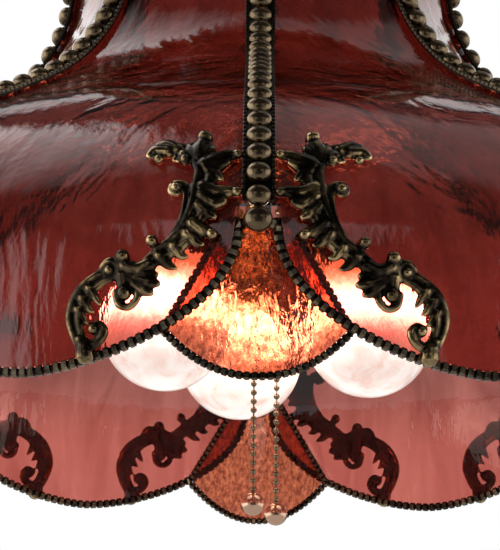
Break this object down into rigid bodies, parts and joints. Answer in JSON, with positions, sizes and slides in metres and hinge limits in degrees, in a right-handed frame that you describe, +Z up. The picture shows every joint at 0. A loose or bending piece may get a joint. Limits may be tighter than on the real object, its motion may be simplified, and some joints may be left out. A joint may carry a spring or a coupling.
{
  "type": "bent glass pendant lamp",
  "caption": "hanging lamp with a bell shade of bent red glass panels in cast brass ribs with scrollwork, round frosted bulbs and ball-chain pull switches",
  "frame": {"origin": "the point at the top of the hanging loop's hole where the hook carries the lamp", "axes": "+Z up along the lamp's axis of symmetry, -Y towards the viewer and rib_1, +X to the right"},
  "size_m": [0.6902, 0.6902, 0.4892],
  "materials": {
    "red_glass": "hand-rolled translucent cranberry glass, glossy",
    "hammered_glass": "hammered translucent cranberry glass",
    "antique_brass": "dark antique patina, rubbed bright on the high spots",
    "fitting_brass": "satin aged brass",
    "bulb": "frosted white globe, lit",
    "copper": "polished copper"
  },
  "bodies": {
    "lamp": {"glass_panel_1": "red_glass", "glass_panel_2": "red_glass", "glass_panel_3": "red_glass", "glass_panel_4": "red_glass", "glass_panel_5": "red_glass", "glass_panel_6": "red_glass", "glass_panel_7": "red_glass", "glass_panel_8": "red_glass", "tongue_panel_1": "hammered_glass", "tongue_panel_2": "hammered_glass", "tongue_panel_3": "hammered_glass", "tongue_panel_4": "hammered_glass", "tongue_panel_5": "hammered_glass", "tongue_panel_6": "hammered_glass", "tongue_panel_7": "hammered_glass", "tongue_panel_8": "hammered_glass", "rib_1": "antique_brass", "rib_2": "antique_brass", "rib_3": "antique_brass", "rib_4": "antique_brass", "rib_5": "antique_brass", "rib_6": "antique_brass", "rib_7": "antique_brass", "rib_8": "antique_brass", "filigree_left_1": "antique_brass", "filigree_left_2": "antique_brass", "filigree_left_3": "antique_brass", "filigree_left_4": "antique_brass", "filigree_left_5": "antique_brass", "filigree_left_6": "antique_brass", "filigree_left_7": "antique_brass", "filigree_left_8": "antique_brass", "filigree_right_1": "antique_brass", "filigree_right_2": "antique_brass", "filigree_right_3": "antique_brass", "filigree_right_4": "antique_brass", "filigree_right_5": "antique_brass", "filigree_right_6": "antique_brass", "filigree_right_7": "antique_brass", "filigree_right_8": "antique_brass", "rim_trim": "antique_brass", "crown_ring": "antique_brass", "spider": "fitting_brass", "vent_cap": "antique_brass", "stem": "fitting_brass", "cap_nut": "fitting_brass", "hanging_loop": "fitting_brass", "cluster_body": "fitting_brass", "socket_1": "fitting_brass", "socket_2": "fitting_brass", "socket_3": "fitting_brass"},
    "lit_bulb_1": {"bulb_1": "bulb"},
    "lit_bulb_2": {"bulb_2": "bulb"},
    "lit_bulb_3": {"bulb_3": "bulb"},
    "eyelet_1": {"pull_eyelet_1": "fitting_brass"},
    "chain_1": {"pull_chain_1": "fitting_brass", "pull_ball_1": "copper"},
    "eyelet_2": {"pull_eyelet_2": "fitting_brass"},
    "chain_2": {"pull_chain_2": "fitting_brass", "pull_ball_2": "copper"}
  },
  "joints": [
    {"name": "bulb_1_unscrew", "type": "hinge", "parent": "lamp", "child": "lit_bulb_1", "pos_m": [0, 0, -0.237], "axis": [0.4668, -0.1792, -0.866], "range_deg": [0, 1080]},
    {"name": "bulb_2_unscrew", "type": "hinge", "parent": "lamp", "child": "lit_bulb_2", "pos_m": [0, 0, -0.237], "axis": [-0.0782, 0.4938, -0.866], "range_deg": [0, 1080]},
    {"name": "bulb_3_unscrew", "type": "hinge", "parent": "lamp", "child": "lit_bulb_3", "pos_m": [0, 0, -0.237], "axis": [-0.3886, -0.3147, -0.866], "range_deg": [0, 1080]},
    {"name": "pull_1", "type": "slide", "parent": "lamp", "child": "eyelet_1", "axis": [0, 0, -1], "range_m": [0, 0.008], "stiffness_N_per_m": 400, "springref_m": -0.004},
    {"name": "swing_1", "type": "hinge", "parent": "eyelet_1", "child": "chain_1", "pos_m": [-0.0025, -0.015, -0.2663], "axis": [1, 0, 0], "range_deg": [-10, 10]},
    {"name": "pull_2", "type": "slide", "parent": "lamp", "child": "eyelet_2", "axis": [0, 0, -1], "range_m": [0, 0.008], "stiffness_N_per_m": 400, "springref_m": -0.004},
    {"name": "swing_2", "type": "hinge", "parent": "eyelet_2", "child": "chain_2", "pos_m": [0.012, 0.012, -0.2663], "axis": [1, 0, 0], "range_deg": [-10, 10]}
  ]
}
